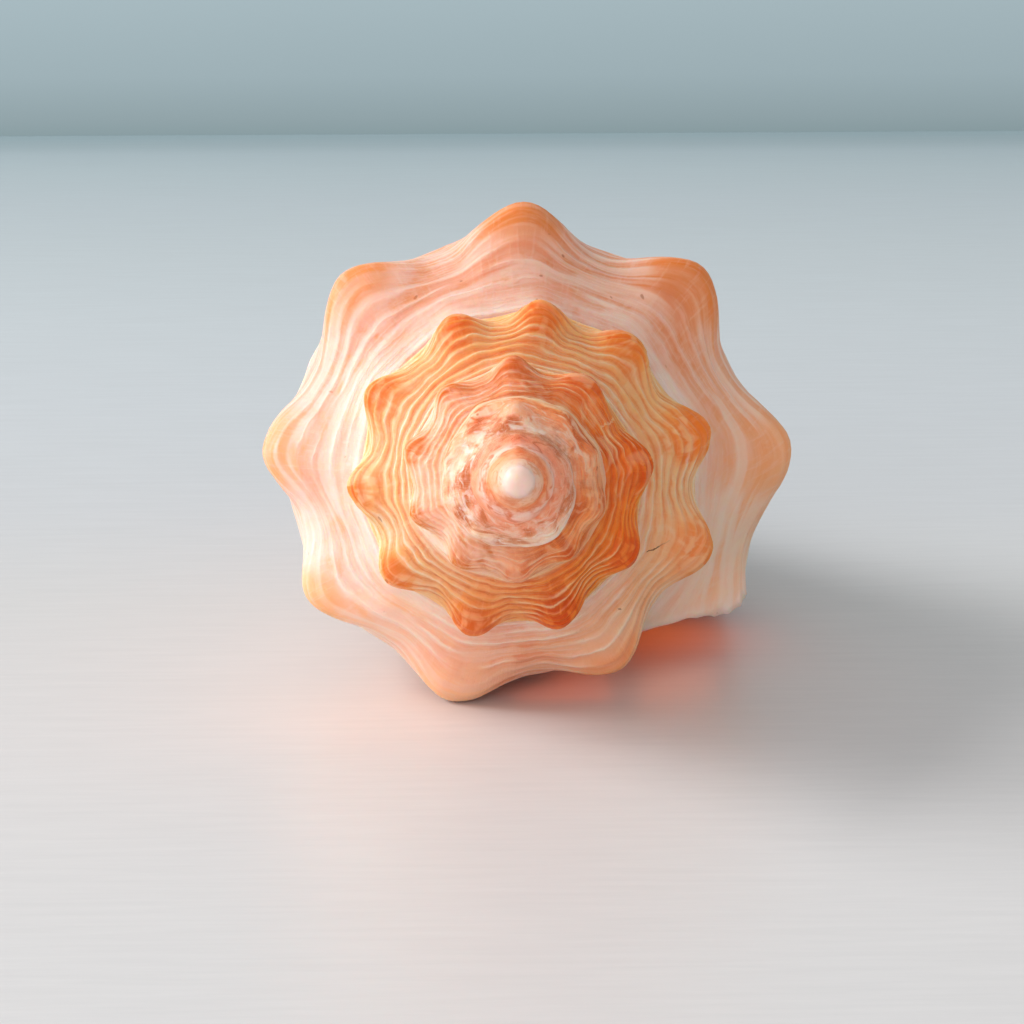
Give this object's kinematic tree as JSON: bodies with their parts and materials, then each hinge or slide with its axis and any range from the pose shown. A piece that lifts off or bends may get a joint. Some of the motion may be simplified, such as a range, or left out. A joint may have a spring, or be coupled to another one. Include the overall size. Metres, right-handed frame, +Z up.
{
  "type": "horse conch shell",
  "caption": "Spindle-shaped orange sea snail shell with a knobbed spire, a long open canal and a hollow mouth on its underside.",
  "frame": {"origin": "centre of the shell's footprint, on the surface that it rests on", "axes": "+Z up from the resting surface, -Y towards the apex, +Y towards the end of the canal, +X to the right when facing the apex end"},
  "size_m": [0.0546, 0.1158, 0.0472],
  "materials": {
    "shell": "satin natural shell, peach on the last whorl and saturated orange on the spire, with pale raised cords"
  },
  "bodies": {
    "root": {"shell": "shell"}
  },
  "joints": []
}
